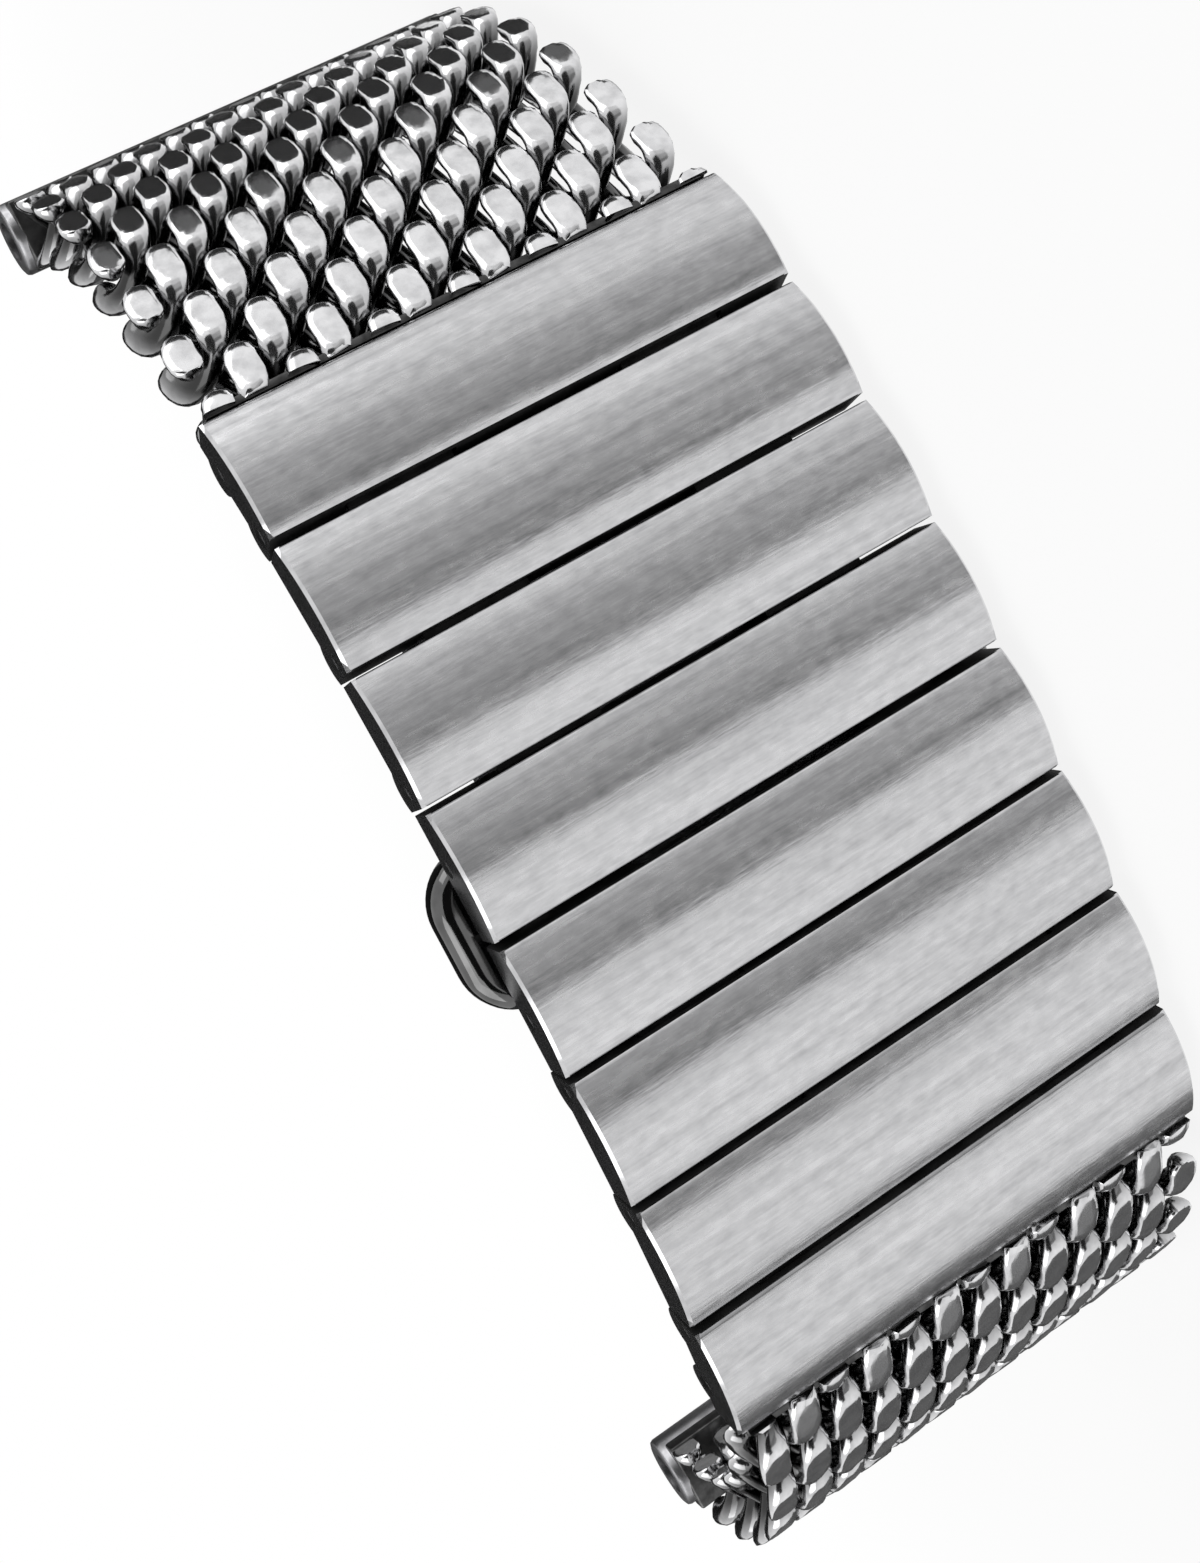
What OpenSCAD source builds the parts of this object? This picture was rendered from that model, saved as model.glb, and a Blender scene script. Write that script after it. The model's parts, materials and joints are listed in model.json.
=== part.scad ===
// Woven metal watch bracelet with solid bars over a two-arm folding clasp, lying on its side edge.
// The clasp faces -Y, the bars run along Z, and the loop closes round the wrist towards +Y.

/* [Band] */
// Width of the bars, along Z
bar_length = 22; // [21:0.5:23]
// Gap between two bars at the line of the pins
bar_gap = 0.18; // [0.12:0.01:0.25]
// Height of a bar's long edges over the line of the pins
bar_shoulder = 1.25; // [1.15:0.05:1.4]
// Rise of a bar's crown over its long edges
bar_crown = 0.55; // [0.4:0.05:0.7]
// Depth of a bar's inner face under the line of the pins
bar_depth = 0.5; // [0.4:0.05:0.6]
// Chamfer along a bar's two ends
bar_chamfer = 0.3; // [0.1:0.05:0.5]

/* [Hinges of the bars] */
// Radius of the lobes that hold a hinge pin
lobe_r = 1.0; // [0.85:0.05:1]
// Radius of the tongues that turn on a hinge pin
tongue_r = 0.8; // [0.7:0.05:0.8]
// Radius of a hinge pin
pin_r = 0.4; // [0.3:0.05:0.45]
// Running clearance between a pin and the bore that turns on it
pin_clearance = 0.03; // [0.02:0.01:0.06]
// Clearance between parts that pass each other
part_clearance = 0.1; // [0.06:0.01:0.12]

/* [Clasp] */
// Thickness of a folding arm
arm_t = 0.9; // [0.7:0.05:0.95]
// Width of a folding arm
arm_w = 14; // [12:0.5:15]
// Thickness of the centre blade
blade_t = 0.9; // [0.7:0.05:1.1]
// Width of the centre blade and the latch block
blade_w = 16; // [15.5:0.5:17]
// Radius of the hinge knuckles at the blade's ends
hinge_r = 0.98; // [0.9:0.02:1]
// Radius of the hinge pins at the blade's ends
hinge_pin_r = 0.5; // [0.35:0.05:0.55]
// Half the length of the latch block along the band
block_half = 3.4; // [3:0.1:3.4]

/* [Buttons] */
// Length of a button's head along the band
button_l = 6.2; // [4:0.1:6.6]
// Height of a button's head
button_h = 1.9; // [1.5:0.1:1.9]
// How far a button stands out past the ends of the bars
button_proud = 1.0; // [0.8:0.1:1.4]
// Radius of a button's stem
stem_r = 0.5; // [0.3:0.05:0.5]

/* [Mesh] */
// Diameter of the wire
wire_d = 0.94; // [0.8:0.02:0.94]
// Distance between two turns of one coil
coil_pitch = 3.36; // [3.3:0.06:3.36]
// Distance between two coils along the band
row_pitch = 1.55; // [1.53:0.01:1.57]
// Length of the cut ends of each wire
wire_tail = 0.3; // [0.05:0.05:0.4]

/* [Spring bar ends] */
// Radius of the bore for a spring bar
spring_bar_r = 0.9; // [0.7:0.05:1]
// Outer radius of the tube round that bore
lug_tube_r = 1.6; // [1.5:0.05:1.7]

/* [Hidden] */
home = [-1.455, -10.42, 0];
mid_z = button_proud + bar_length / 2;
low_z = button_proud;
high_z = button_proud + bar_length;
arc_fn = 96;
ring_fn = 48;
bar_w = 4.92;
nose = 0.65;
bar_far = bar_w - nose;
bar_pitch = bar_w + bar_gap;
first_pin = 0.79;
crown_r = (pow(bar_w / 2, 2) + pow(bar_crown, 2)) / (2 * bar_crown);
slot_r = tongue_r + part_clearance;
tongue_low = [mid_z - 7.9, mid_z - 3.6];
tongue_high = [mid_z + 3.6, mid_z + 7.9];
// Directions of the four bars of one half, from the clasp's middle outwards
bar_dir = [1.5, 5.5, 11, 18.5];
arm_pin_x = 3.0;
arm_pin_z = [mid_z - 5, mid_z + 5];
lug_in = 0.2;
mesh_pin_in = 1.4;
mesh_pin_y = 0.25;
pocket_z = [low_z + 1.6, high_z - 1.6];
plate_gap = 0.1;
plate_t = 0.35;
// The line that the clasp's plates follow: arc length against direction
bend = [[0, 0], [3.5, 0], [8.4, 5.5], [13.5, 11], [18.6, 18.5], [24, 26]];
bend_step = 1.7;
hinge_s = 18.2;
hinge_off = 2.12;
arm_off = 1.15;
blade_off = 2.2;
floor_off = 2.75;
latch_y = 1.95;
latch_z = [mid_z - 5.8, mid_z - 5];
head_inner = mid_z + blade_w / 2 + 0.2;
// Ledge of a folding arm that the latch holds: inner end, depth and place along the pins
ledge_in = 2.4;
ledge_y = [1.6, 2.02];
ledge_z = [mid_z - 6.9, mid_z - 6.1];
ledge_reach = norm([arm_pin_x - ledge_in, ledge_y[1]]) + part_clearance;
ledge_near = ledge_y[0] - 2 * part_clearance;
// Distance from the middle of a coil to its strands: half turns tilted as a 3-4-5 triangle meet end to end
coil_half = coil_pitch / 3;
col_0 = mid_z - 3 * coil_pitch;
// The plates at the ends of the mesh reach a little past its outermost wires
plate_z = [col_0 - wire_d / 2 - 0.1, 2 * mid_z - col_0 + wire_d / 2 + 0.1];
last_row = 13;
row_in = 0.527;
row_mid = 0;
leg = 0.7;

function unit(a) = [cos(a), sin(a)];
function local(p, a, x, y) = [p[0] + x * cos(a) - y * sin(a), p[1] + x * sin(a) + y * cos(a)];
// Pin at the inner end of bar k of a half, counted from the clasp's middle
function bar_pin(k) = k == 0 ? [first_pin, 0] : local(bar_pin(k - 1), bar_dir[k - 1], bar_pitch, 0);
// Points of the clasp's line, one for each step
function line_pt(i) = i == 0 ? [0, 0]
  : line_pt(i - 1) + bend_step * unit(lookup((i - 0.5) * bend_step, bend));
function line_at(s, off) = let (i = floor(s / bend_step), a = lookup(s, bend),
  q = line_pt(i) + (s - i * bend_step) * unit(lookup((s + i * bend_step) / 2, bend)))
  q + off * [-sin(a), cos(a)];
hinge_at = line_at(hinge_s, hinge_off);
// Direction of row i of the mesh: side 0 is the half next to bar 1, side 1 the half next to bar 8
function row_dir(side, i) = side == 0 ? 33.5 + min(i, 5) + 4.85 * max(i - 5, 0)
  : 25 + 5.2 * min(i, 8) + 4.2 * max(i - 8, 0);
function row_at(side, i) = i < 1
  ? local(local(bar_pin(3), bar_dir[3], bar_far, row_mid), bar_dir[3], -row_in, 0)
  : row_at(side, i - 1) + row_pitch * unit((row_dir(side, i) + row_dir(side, i - 1)) / 2);

// Moves the clasp's frame so that the origin is under the middle of the whole bracelet
module centred() {
  translate(home)
    children();
}

module slab(z0, z1) {
  translate([0, 0, z0])
    linear_extrude(z1 - z0)
      children();
}

// Places a shape that is drawn for the half next to bar 1 on either half
module half(side) {
  mirror([side, 0, 0])
    children();
}

// Both ends of the clasp are alike: the shape and its mirror image about the middle of the width
module both_ends() {
  children();
  translate([0, 0, 2 * mid_z])
    mirror([0, 0, 1])
      children();
}

// Polished bar seen from its end: a low crown between two straight edges
module bar_body() {
  intersection() {
    translate([-nose, -bar_shoulder - bar_crown - 1, low_z])
      cube([bar_w, bar_shoulder + bar_crown + 1 + bar_depth, bar_length]);
    translate([bar_w / 2 - nose, crown_r - bar_shoulder - bar_crown, low_z]) {
      cylinder(h = bar_chamfer, r1 = crown_r - bar_chamfer, r2 = crown_r, $fn = arc_fn);
      translate([0, 0, bar_chamfer])
        cylinder(h = bar_length - 2 * bar_chamfer, r = crown_r, $fn = arc_fn);
      translate([0, 0, bar_length - bar_chamfer])
        cylinder(h = bar_chamfer, r1 = crown_r, r2 = crown_r - bar_chamfer, $fn = arc_fn);
    }
  }
}

// Lobe round the pin at a bar's inner end
module lobe() {
  slab(low_z, high_z)
    intersection() {
      circle(r = lobe_r, $fn = ring_fn);
      translate([-nose, -0.5])
        square([nose + lobe_r, lobe_r + 0.5]);
    }
}

module tongue(z) {
  slab(z[0], z[1])
    difference() {
      union() {
        translate([bar_pitch, 0])
          circle(r = tongue_r, $fn = ring_fn);
        translate([bar_far - 0.3, -0.55])
          square([bar_pitch - bar_far + 0.3, 1.05]);
      }
      translate([bar_pitch, 0])
        circle(r = pin_r + pin_clearance, $fn = ring_fn);
    }
}

module slot(z) {
  slab(z[0] - part_clearance, z[1] + part_clearance) {
    circle(r = slot_r, $fn = ring_fn);
    translate([-1.5, -slot_r])
      square([1.5, slot_r + 2]);
  }
}

// Bar with lobes and slots at its inner end, and tongues at its outer end
module bar(tongues, slots) {
  difference() {
    union() {
      bar_body();
      if (slots)
        lobe();
      if (tongues) {
        tongue(tongue_low);
        tongue(tongue_high);
      }
    }
    if (slots) {
      slot(tongue_low);
      slot(tongue_high);
      slab(low_z - 1, high_z + 1)
        circle(r = pin_r, $fn = ring_fn);
    }
  }
}

module place_bar(k) {
  translate([bar_pin(k)[0], bar_pin(k)[1], 0])
    rotate([0, 0, bar_dir[k]])
      children();
}

// Bar over the latch block: it turns on a pin in the end of its folding arm
module clasp_bar() {
  place_bar(0)
    rotate([0, 0, -bar_dir[0]])
      translate([arm_pin_x - first_pin, 0, 0])
        difference() {
          union() {
            translate([first_pin - arm_pin_x, 0, 0])
              rotate([0, 0, bar_dir[0]])
                bar(true, false);
            slab(low_z + lug_in, high_z - lug_in)
              circle(r = 0.85, $fn = ring_fn);
          }
          slab(low_z - 1, high_z + 1)
            circle(r = pin_r, $fn = ring_fn);
          slab(arm_pin_z[0] - part_clearance, arm_pin_z[1] + part_clearance) {
            circle(r = slot_r, $fn = ring_fn);
            polygon([[0, -0.1], [0.92, -0.1], [1.4, 0.62], [1.4, 2], [-3.6, 2],
              [-3.6, -slot_r], [0, -slot_r]]);
          }
          both_ends()
            slab(ledge_z[0] - part_clearance, ledge_z[1] + part_clearance)
              translate([-ledge_reach, ledge_in - arm_pin_x - 1.5 * part_clearance])
                square([ledge_reach - ledge_near, 3]);
        }
}

// Bar next to the mesh: a pocket at its outer edge takes the mesh's end tube
module end_bar() {
  place_bar(3)
    difference() {
      union() {
        bar(false, true);
        slab(low_z, high_z)
          translate([bar_far - mesh_pin_in, mesh_pin_y])
            circle(r = 0.85, $fn = ring_fn);
      }
      slab(low_z - 1, high_z + 1)
        translate([bar_far - mesh_pin_in, mesh_pin_y])
          circle(r = pin_r, $fn = ring_fn);
      slab(pocket_z[0], pocket_z[1])
        translate([bar_far - mesh_pin_in, mesh_pin_y]) {
          circle(r = slot_r, $fn = ring_fn);
          translate([0, -slot_r])
            square([4, 4]);
        }
    }
}

module pin(r, z0, z1) {
  translate([0, 0, z0])
    cylinder(h = z1 - z0, r = r, $fn = ring_fn);
}

module link_pin(k) {
  place_bar(k)
    pin(pin_r, low_z + 0.1, high_z - 0.1);
}

// Strip of sheet that follows the clasp's line
module strip(s0, s1, off0, off1) {
  n = ceil((s1 - s0) / bend_step);
  polygon(concat([for (i = [0:n]) line_at(s0 + (s1 - s0) * i / n, off0)],
    [for (i = [n:-1:0]) line_at(s0 + (s1 - s0) * i / n, off1)]));
}

module at_hinge() {
  translate(hinge_at)
    children();
}

// Folding arm, with a knuckle at each end and two ledges for the latch
module arm() {
  difference() {
    union() {
      slab(mid_z - arm_w / 2, mid_z + arm_w / 2)
        strip(3.7, hinge_s - 1.2, arm_off, arm_off + arm_t);
      slab(mid_z - 4, mid_z + 4) {
        strip(hinge_s - 2, hinge_s, arm_off, arm_off + arm_t);
        at_hinge()
          circle(r = hinge_r, $fn = ring_fn);
      }
      slab(arm_pin_z[0], arm_pin_z[1]) {
        translate([arm_pin_x, 0])
          circle(r = tongue_r, $fn = ring_fn);
        polygon([[3.15, 0.3], [3.75, 0], [4.6, 1.3], [4.6, 2.05], [3.6, 2.05], [3.6, 1.15]]);
      }
      both_ends()
        slab(ledge_z[0], ledge_z[1])
          translate([ledge_in, ledge_y[0]])
            square([1.7, ledge_y[1] - ledge_y[0]]);
    }
    slab(0, high_z)
      translate([arm_pin_x, 0])
        circle(r = pin_r + pin_clearance, $fn = ring_fn);
    slab(0, high_z)
      at_hinge()
        circle(r = hinge_pin_r + pin_clearance, $fn = ring_fn);
  }
}

module blade_half() {
  difference() {
    union() {
      slab(mid_z - blade_w / 2, mid_z + blade_w / 2)
        strip(block_half, hinge_s - 1.3, blade_off, blade_off + blade_t);
      both_ends()
        slab(mid_z - blade_w / 2, mid_z - 4.1) {
          strip(hinge_s - 2, hinge_s, blade_off, blade_off + blade_t);
          at_hinge()
            circle(r = hinge_r, $fn = ring_fn);
        }
    }
    slab(0, high_z)
      at_hinge()
        circle(r = hinge_pin_r, $fn = ring_fn);
  }
}

module half_turn(up, front, p, b, r) {
  a = atan(p / 4 / b);
  translate([p / 4, 0, 0])
    rotate([0, front ? -a : a, 0])
      rotate([90, 0, 90])
        rotate([0, 0, up ? -90 : 90])
          rotate_extrude(angle = 180, $fn = 40)
            translate([sqrt(pow(p / 4, 2) + b * b), 0])
              circle(r = r, $fn = 48);
}

// Cut end of a wire: a short straight piece with a round cap
module tail(k, up, front) {
  translate([k * coil_pitch / 2, 0, front ? coil_half : -coil_half])
    rotate([up ? -90 : 90, 0, 0]) {
      cylinder(h = wire_tail, r = wire_d / 2, $fn = 48);
      translate([0, 0, wire_tail])
        sphere(r = wire_d / 2, $fn = 48);
    }
}

// One coil of the mesh along +X, with its front strands at +Z
module coil(k0) {
  for (k = [0:11])
    translate([k * coil_pitch / 2, 0, 0])
      half_turn((k + k0) % 2 == 0, (k + k0) % 2 == 0, coil_pitch, coil_half, wire_d / 2);
  tail(0, k0 % 2 == 1, k0 % 2 == 0);
  tail(12, k0 % 2 == 0, k0 % 2 == 0);
}

// Half turns of a coil that bend one way only
module loops(k0, up) {
  for (k = [0:11])
    if (((k + k0) % 2 == 0) == up)
      translate([k * coil_pitch / 2, 0, 0])
        half_turn(up, up, coil_pitch, coil_half, wire_d / 2);
}

// Straight legs that carry such half turns into a plate
module legs(k0, up) {
  for (k = [0:11])
    if (((k + k0) % 2 == 0) == up)
      for (e = [0, 1])
        translate([(k + e) * coil_pitch / 2, 0, (e == 0) == up ? coil_half : -coil_half])
          rotate([up ? 90 : -90, 0, 0])
            cylinder(h = leg, r = wire_d / 2, $fn = 48);
}

// Frame of row i: X runs along the band, Y towards the wrist, Z along the bars
module place_row(side, i) {
  translate([(1 - 2 * side) * row_at(side, i)[0], row_at(side, i)[1], 0])
    rotate([0, 0, (1 - 2 * side) * row_dir(side, i)])
      children();
}

module along_z() {
  translate([0, 0, col_0])
    rotate([0, -90, 90])
      children();
}

module stretch(side, j) {
  for (i = [max(2, 4 * j):min(last_row - 1, 4 * j + 3)])
    place_row(side, i)
      along_z()
        coil(i % 2);
}

// End tube of the mesh in the outermost bar, with the plate that holds the first row of loops
module mesh_end(side) {
  difference() {
    union() {
      half(side)
        place_bar(3) {
          slab(pocket_z[0] + part_clearance, pocket_z[1] - part_clearance)
            translate([bar_far - mesh_pin_in, mesh_pin_y]) {
              circle(r = tongue_r, $fn = ring_fn);
              translate([0, -0.7])
                square([mesh_pin_in + plate_gap + 0.1, 1.4]);
            }
          slab(plate_z[0], plate_z[1])
            translate([bar_far + plate_gap, -1.1])
              square([plate_t, 2.5]);
        }
      intersection() {
        union() {
          place_row(side, 0)
            along_z()
              loops(0, side == 1);
          place_row(side, 1)
            along_z()
              coil(1);
        }
        half(side)
          place_bar(3)
            translate([bar_far + plate_gap + 0.1, -5, 0])
              cube([5, 10, high_z + 1]);
      }
    }
    half(side)
      place_bar(3)
        translate([bar_far - mesh_pin_in, mesh_pin_y, 0])
          pin(pin_r + pin_clearance, 0, high_z + 1);
  }
}

// Tube for a spring bar at the free end of a half, with the last row of loops
module lug_end(side) {
  difference() {
    union() {
      place_row(side, last_row) {
        along_z() {
          loops(1, side == 0);
          legs(1, side == 0);
        }
        half(side) {
          slab(low_z, high_z)
            translate([lug_tube_r + 0.4, 0])
              circle(r = lug_tube_r, $fn = ring_fn);
          slab(plate_z[0], plate_z[1])
            translate([0.4, -1.55])
              square([0.9, 3.1]);
        }
      }
    }
    place_row(side, last_row)
      half(side)
        translate([lug_tube_r + 0.4, 0, 0])
          pin(spring_bar_r, 0, high_z + 1);
  }
}

module button_head() {
  intersection() {
    slab(head_inner + 1, high_z + button_proud)
      translate([0, latch_y + 0.15]) {
        square([button_l - button_h, button_h], center = true);
        translate([(button_l - button_h) / 2, 0])
          circle(d = button_h, $fn = ring_fn);
        translate([-(button_l - button_h) / 2, 0])
          circle(d = button_h, $fn = ring_fn);
      }
    translate([0, 0, high_z + button_proud - 9])
      rotate([90, 0, 0])
        cylinder(h = 20, r = 9, center = true, $fn = arc_fn);
  }
}

module button() {
  button_head();
  translate([0, latch_y, 0])
    pin(stem_r, 2 * mid_z - latch_z[0] - 0.2, head_inner + 1.1);
}

module latch_plate() {
  difference() {
    slab(2 * mid_z - latch_z[1] + 0.2, 2 * mid_z - latch_z[0] + 0.2)
      translate([-3.2, 1.6])
        square([6.4, 0.7]);
    translate([0, latch_y, 0])
      pin(stem_r, 2 * mid_z - latch_z[0] - 0.2, high_z + 1);
  }
}

module low_end() {
  translate([0, 0, 2 * mid_z])
    mirror([0, 0, 1])
      children();
}

module spring() {
  translate([0, latch_y, mid_z + 0.84])
    rotate([0, -90, 90])
      for (k = [0:7])
        translate([k * 0.53, 0, 0])
          half_turn(k % 2 == 0, k % 2 == 0, 1.06, 0.38, 0.12);
}

module clasp_blade() {
  color("silver")
    centred()
      {
        half(0)
          blade_half();
        half(1)
          blade_half();
        slab(mid_z - blade_w / 2, mid_z + blade_w / 2)
          translate([-block_half - 0.1, floor_off])
            square([2 * block_half + 0.2, blade_off + blade_t - floor_off]);
      }
}

module latch_block() {
  color("silver")
    centred()
      difference() {
        slab(mid_z - blade_w / 2, mid_z + blade_w / 2)
          translate([-block_half, arm_off])
            square([2 * block_half, floor_off - arm_off]);
        both_ends() {
          slab(mid_z - 7.2, mid_z - 4.2) {
            translate([-5, latch_y - stem_r - part_clearance / 2])
              square([10, 2 * stem_r + part_clearance]);
            translate([ledge_in - part_clearance, 1])
              square([2, 1.5]);
            translate([-2 - ledge_in + part_clearance, 1])
              square([2, 1.5]);
          }
          translate([0, latch_y, 0])
            pin(stem_r + pin_clearance, 0, mid_z - 6);
          translate([0, latch_y, 0])
            pin(0.62, mid_z - 5, mid_z - 0.7);
        }
      }
}

module hinge_pin_right() {
  color("dimgray")
    centred()
      at_hinge()
        pin(hinge_pin_r, mid_z - blade_w / 2, mid_z + blade_w / 2);
}

module hinge_pin_left() {
  color("dimgray")
    centred()
      half(1)
        at_hinge()
          pin(hinge_pin_r, mid_z - blade_w / 2, mid_z + blade_w / 2);
}

module spring_top() {
  color("gray")
    centred()
      spring();
}

module spring_bottom() {
  color("gray")
    centred()
      low_end()
        spring();
}

module button_top() {
  color("silver")
    centred()
      button();
}

module button_bottom() {
  color("silver")
    centred()
      low_end()
        button();
}

module latch_plate_top() {
  color("gray")
    centred()
      latch_plate();
}

module latch_plate_bottom() {
  color("gray")
    centred()
      low_end()
        latch_plate();
}

module arm_right() {
  color("silver")
    centred()
      half(0)
        arm();
}

module arm_pin_right() {
  color("dimgray")
    centred()
      half(0)
        translate([arm_pin_x, 0, 0])
          pin(pin_r, low_z + 0.1, high_z - 0.1);
}

module arm_left() {
  color("silver")
    centred()
      half(1)
        arm();
}

module arm_pin_left() {
  color("dimgray")
    centred()
      half(1)
        translate([arm_pin_x, 0, 0])
          pin(pin_r, low_z + 0.1, high_z - 0.1);
}

module bar_1() {
  color("lightgray")
    centred()
      half(0)
        end_bar();
}

module bar_2() {
  color("lightgray")
    centred()
      half(0)
        place_bar(2)
          bar(true, true);
}

module bar_3() {
  color("lightgray")
    centred()
      half(0)
        place_bar(1)
          bar(true, true);
}

module bar_4() {
  color("lightgray")
    centred()
      half(0)
        clasp_bar();
}

module bar_5() {
  color("lightgray")
    centred()
      half(1)
        clasp_bar();
}

module bar_6() {
  color("lightgray")
    centred()
      half(1)
        place_bar(1)
          bar(true, true);
}

module bar_7() {
  color("lightgray")
    centred()
      half(1)
        place_bar(2)
          bar(true, true);
}

module bar_8() {
  color("lightgray")
    centred()
      half(1)
        end_bar();
}

module link_pin_3_4() {
  color("dimgray")
    centred()
      half(0)
        link_pin(1);
}

module link_pin_2_3() {
  color("dimgray")
    centred()
      half(0)
        link_pin(2);
}

module link_pin_1_2() {
  color("dimgray")
    centred()
      half(0)
        link_pin(3);
}

module link_pin_5_6() {
  color("dimgray")
    centred()
      half(1)
        link_pin(1);
}

module link_pin_6_7() {
  color("dimgray")
    centred()
      half(1)
        link_pin(2);
}

module link_pin_7_8() {
  color("dimgray")
    centred()
      half(1)
        link_pin(3);
}

module mesh_pin_right() {
  color("dimgray")
    centred()
      half(0)
        place_bar(3)
          translate([bar_far - mesh_pin_in, mesh_pin_y, 0])
            pin(pin_r, low_z + 0.1, high_z - 0.1);
}

module mesh_end_right() {
  color("gray")
    centred()
      mesh_end(0);
}

module mesh_right_1() {
  color("silver")
    centred()
      stretch(0, 0);
}

module mesh_right_2() {
  color("silver")
    centred()
      stretch(0, 1);
}

module mesh_right_3() {
  color("silver")
    centred()
      stretch(0, 2);
}

module mesh_right_4() {
  color("silver")
    centred()
      stretch(0, 3);
}

module lug_end_right() {
  color("silver")
    centred()
      lug_end(0);
}

module mesh_pin_left() {
  color("dimgray")
    centred()
      half(1)
        place_bar(3)
          translate([bar_far - mesh_pin_in, mesh_pin_y, 0])
            pin(pin_r, low_z + 0.1, high_z - 0.1);
}

module mesh_end_left() {
  color("gray")
    centred()
      mesh_end(1);
}

module mesh_left_1() {
  color("silver")
    centred()
      stretch(1, 0);
}

module mesh_left_2() {
  color("silver")
    centred()
      stretch(1, 1);
}

module mesh_left_3() {
  color("silver")
    centred()
      stretch(1, 2);
}

module mesh_left_4() {
  color("silver")
    centred()
      stretch(1, 3);
}

module lug_end_left() {
  color("silver")
    centred()
      lug_end(1);
}

clasp_blade();
latch_block();
hinge_pin_right();
hinge_pin_left();
spring_top();
spring_bottom();
button_top();
button_bottom();
latch_plate_top();
latch_plate_bottom();
arm_right();
arm_pin_right();
arm_left();
arm_pin_left();
bar_1();
bar_2();
bar_3();
bar_4();
bar_5();
bar_6();
bar_7();
bar_8();
link_pin_3_4();
link_pin_2_3();
link_pin_1_2();
link_pin_5_6();
link_pin_6_7();
link_pin_7_8();
mesh_pin_right();
mesh_end_right();
mesh_right_1();
mesh_right_2();
mesh_right_3();
mesh_right_4();
lug_end_right();
mesh_pin_left();
mesh_end_left();
mesh_left_1();
mesh_left_2();
mesh_left_3();
mesh_left_4();
lug_end_left();
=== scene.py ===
import json
from math import cos, pi, radians, sin, sqrt, tan

import bpy
from mathutils import Matrix, Vector


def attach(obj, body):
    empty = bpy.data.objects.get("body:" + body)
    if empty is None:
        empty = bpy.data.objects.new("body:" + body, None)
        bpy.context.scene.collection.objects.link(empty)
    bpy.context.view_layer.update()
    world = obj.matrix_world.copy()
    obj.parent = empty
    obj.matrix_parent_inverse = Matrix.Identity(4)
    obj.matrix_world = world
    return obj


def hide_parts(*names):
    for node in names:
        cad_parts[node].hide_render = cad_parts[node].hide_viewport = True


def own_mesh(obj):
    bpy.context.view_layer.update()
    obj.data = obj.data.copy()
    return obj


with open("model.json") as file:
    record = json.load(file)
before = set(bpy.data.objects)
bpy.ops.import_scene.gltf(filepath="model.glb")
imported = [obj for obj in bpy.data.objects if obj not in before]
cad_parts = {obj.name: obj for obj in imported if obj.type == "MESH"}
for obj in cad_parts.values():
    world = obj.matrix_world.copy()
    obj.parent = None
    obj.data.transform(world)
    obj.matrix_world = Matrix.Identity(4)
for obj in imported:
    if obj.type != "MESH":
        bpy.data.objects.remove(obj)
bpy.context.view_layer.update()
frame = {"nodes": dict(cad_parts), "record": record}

# All sizes are in metres. The clasp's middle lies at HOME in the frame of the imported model.
MM = 0.001
HOME = Vector((-1.455 * MM, -10.42 * MM, 0))
LOW_Z = 1 * MM
HIGH_Z = 23 * MM
MID_Z = 12 * MM

# Bars: the directions of one half, from the clasp's middle outwards, in degrees
BAR_DIR = (1.5, 5.5, 11, 18.5)
BAR_PITCH = 5.1 * MM
BAR_FAR = 4.27 * MM
FIRST_PIN = 0.79 * MM
SHOULDER = 1.25 * MM

# Mesh: the wire, the coils and the rows
WIRE_R = 0.47 * MM
COIL_PITCH = 3.36 * MM
COIL_HALF = 1.12 * MM
RING_R = sqrt((COIL_PITCH / 4) ** 2 + COIL_HALF ** 2)
ROW_PITCH = 1.55 * MM
FIRST_COLUMN = MID_Z - 3 * COIL_PITCH
ROW_START = 0.527 * MM
HALF_TURNS = 12
LAST_ROW = 13
END_ROWS = 2
STRETCHES = 4
STRETCH_ROWS = 4
TAIL = 0.3 * MM
RIGHT, LEFT = 0, 1


# Places of the bars and of the mesh's rows, as in the part's source


def along(point, degrees, x, y):
    """The point x along and y inwards from a point, on a line that runs at this angle."""
    c, s = cos(radians(degrees)), sin(radians(degrees))
    return Vector((point[0] + x * c - y * s, point[1] + x * s + y * c))


def bar_pin(k):
    return Vector((FIRST_PIN, 0)) if k == 0 else along(bar_pin(k - 1), BAR_DIR[k - 1], BAR_PITCH, 0)


def row_dir(side, i):
    if side == RIGHT:
        return 33.5 + min(i, 5) + 4.85 * max(i - 5, 0)
    return 25 + 5.2 * min(i, 8) + 4.2 * max(i - 8, 0)


def row_at(side, i):
    place = along(along(bar_pin(3), BAR_DIR[3], BAR_FAR, 0), BAR_DIR[3], -ROW_START, 0)
    for j in range(1, i + 1):
        place = along(place, (row_dir(side, j) + row_dir(side, j - 1)) / 2, ROW_PITCH, 0)
    return place


def row_matrix(side, i):
    """From the frame of a coil (X along the band, Y towards the wrist, Z along the bars) to the object's."""
    hand = 1 if side == RIGHT else -1
    place = row_at(side, i)
    return (
        Matrix.Translation(HOME + Vector((hand * place[0], place[1], FIRST_COLUMN)))
        @ Matrix.Rotation(hand * radians(row_dir(side, i)), 4, "Z")
    )


# Camera

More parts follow.
